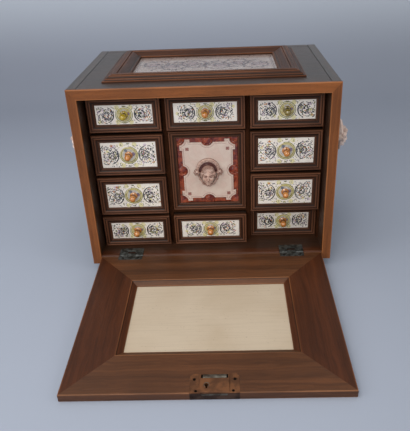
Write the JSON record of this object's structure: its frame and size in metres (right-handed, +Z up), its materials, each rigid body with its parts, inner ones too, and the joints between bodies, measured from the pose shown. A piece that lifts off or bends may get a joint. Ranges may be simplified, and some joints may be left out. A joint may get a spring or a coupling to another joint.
{
  "type": "table cabinet",
  "caption": "Table cabinet with a fall front, small tiled drawers round a deep square one, and a mask on each side.",
  "frame": {"origin": "centre of the whole part's footprint on the table, with the fall front open", "axes": "+X to the right as one faces the drawers, +Y from the fall front's free edge towards the back, +Z up"},
  "size_m": [0.604, 0.6584, 0.4085],
  "materials": {
    "case_wood": "waxed walnut",
    "edging_wood": "waxed light walnut",
    "nest_wood": "waxed dark walnut",
    "drawer_wood": "waxed dark walnut",
    "flap_wood": "waxed walnut",
    "moulding_wood": "waxed dark walnut",
    "top_tile_glaze": "glazed tile, red-violet drawing on cream",
    "square_tile_glaze": "glazed tile, pink with a red-brown border",
    "drawer_tile_glaze": "glazed tile, cream with scrolls",
    "bare_tile": "unglazed back of a tile",
    "knob_glaze": "glazed ochre",
    "mask_glaze": "glazed pink clay",
    "hinge_steel": "dark aged steel",
    "steel": "aged steel",
    "lock_brass": "aged brass"
  },
  "bodies": {
    "case": {"back_board": "case_wood", "base_board": "case_wood", "case_hinge_leaves": "hinge_steel", "case_hinge_screws": "steel", "feet": "case_wood", "front_edging": "edging_wood", "hinge_pins": "steel", "left_side": "case_wood", "left_side_mask": "mask_glaze", "nest_lining": "nest_wood", "partitions": "nest_wood", "right_side": "case_wood", "right_side_mask": "mask_glaze", "shelves": "nest_wood", "strike_plate": "lock_brass", "top_board": "case_wood", "top_frame": "moulding_wood", "top_tile": "top_tile_glaze"},
    "flap": {"flap_stiles": "flap_wood", "flap_hinge_rail": "flap_wood", "flap_lock_rail": "flap_wood", "flap_tile": "bare_tile", "flap_beads": "flap_wood", "flap_hinge_leaves": "hinge_steel", "flap_screws": "steel", "lock_case": "lock_brass"},
    "lock_bolt": {"lock_bolt": "steel"},
    "left_drawer_1": {"left_drawer_1_box": "drawer_wood", "left_drawer_1_knob": "knob_glaze", "left_drawer_1_tile": "drawer_tile_glaze"},
    "left_drawer_2": {"left_drawer_2_box": "drawer_wood", "left_drawer_2_knob": "knob_glaze", "left_drawer_2_tile": "drawer_tile_glaze"},
    "left_drawer_3": {"left_drawer_3_box": "drawer_wood", "left_drawer_3_knob": "knob_glaze", "left_drawer_3_tile": "drawer_tile_glaze"},
    "left_drawer_4": {"left_drawer_4_box": "drawer_wood", "left_drawer_4_knob": "knob_glaze", "left_drawer_4_tile": "drawer_tile_glaze"},
    "centre_drawer_1": {"centre_drawer_1_box": "drawer_wood", "centre_drawer_1_knob": "knob_glaze", "centre_drawer_1_tile": "drawer_tile_glaze"},
    "centre_drawer_4": {"centre_drawer_4_box": "drawer_wood", "centre_drawer_4_knob": "knob_glaze", "centre_drawer_4_tile": "drawer_tile_glaze"},
    "right_drawer_1": {"right_drawer_1_box": "drawer_wood", "right_drawer_1_knob": "knob_glaze", "right_drawer_1_tile": "drawer_tile_glaze"},
    "right_drawer_2": {"right_drawer_2_box": "drawer_wood", "right_drawer_2_knob": "knob_glaze", "right_drawer_2_tile": "drawer_tile_glaze"},
    "right_drawer_3": {"right_drawer_3_box": "drawer_wood", "right_drawer_3_knob": "knob_glaze", "right_drawer_3_tile": "drawer_tile_glaze"},
    "right_drawer_4": {"right_drawer_4_box": "drawer_wood", "right_drawer_4_knob": "knob_glaze", "right_drawer_4_tile": "drawer_tile_glaze"},
    "square_drawer": {"square_drawer_box": "drawer_wood", "square_drawer_mask": "mask_glaze", "square_drawer_tile": "square_tile_glaze"}
  },
  "joints": [
    {"name": "flap_hinge", "type": "hinge", "parent": "case", "child": "flap", "pos_m": [0, 0.01875, 0.0275], "axis": [1, 0, 0], "range_deg": [-93.3, 0]},
    {"name": "left_drawer_1_slide", "type": "slide", "parent": "case", "child": "left_drawer_1", "axis": [0, -1, 0], "range_m": [0, 0.17]},
    {"name": "left_drawer_2_slide", "type": "slide", "parent": "case", "child": "left_drawer_2", "axis": [0, -1, 0], "range_m": [0, 0.17]},
    {"name": "left_drawer_3_slide", "type": "slide", "parent": "case", "child": "left_drawer_3", "axis": [0, -1, 0], "range_m": [0, 0.17]},
    {"name": "left_drawer_4_slide", "type": "slide", "parent": "case", "child": "left_drawer_4", "axis": [0, -1, 0], "range_m": [0, 0.17]},
    {"name": "centre_drawer_1_slide", "type": "slide", "parent": "case", "child": "centre_drawer_1", "axis": [0, -1, 0], "range_m": [0, 0.17]},
    {"name": "centre_drawer_4_slide", "type": "slide", "parent": "case", "child": "centre_drawer_4", "axis": [0, -1, 0], "range_m": [0, 0.17]},
    {"name": "right_drawer_1_slide", "type": "slide", "parent": "case", "child": "right_drawer_1", "axis": [0, -1, 0], "range_m": [0, 0.17]},
    {"name": "right_drawer_2_slide", "type": "slide", "parent": "case", "child": "right_drawer_2", "axis": [0, -1, 0], "range_m": [0, 0.17]},
    {"name": "right_drawer_3_slide", "type": "slide", "parent": "case", "child": "right_drawer_3", "axis": [0, -1, 0], "range_m": [0, 0.17]},
    {"name": "right_drawer_4_slide", "type": "slide", "parent": "case", "child": "right_drawer_4", "axis": [0, -1, 0], "range_m": [0, 0.196]},
    {"name": "square_drawer_slide", "type": "slide", "parent": "case", "child": "square_drawer", "axis": [0, -1, 0], "range_m": [0, 0.1835]},
    {"name": "bolt_slide", "type": "slide", "parent": "flap", "child": "lock_bolt", "axis": [0, -0.9983, -0.0575], "range_m": [0, 0.006]}
  ]
}
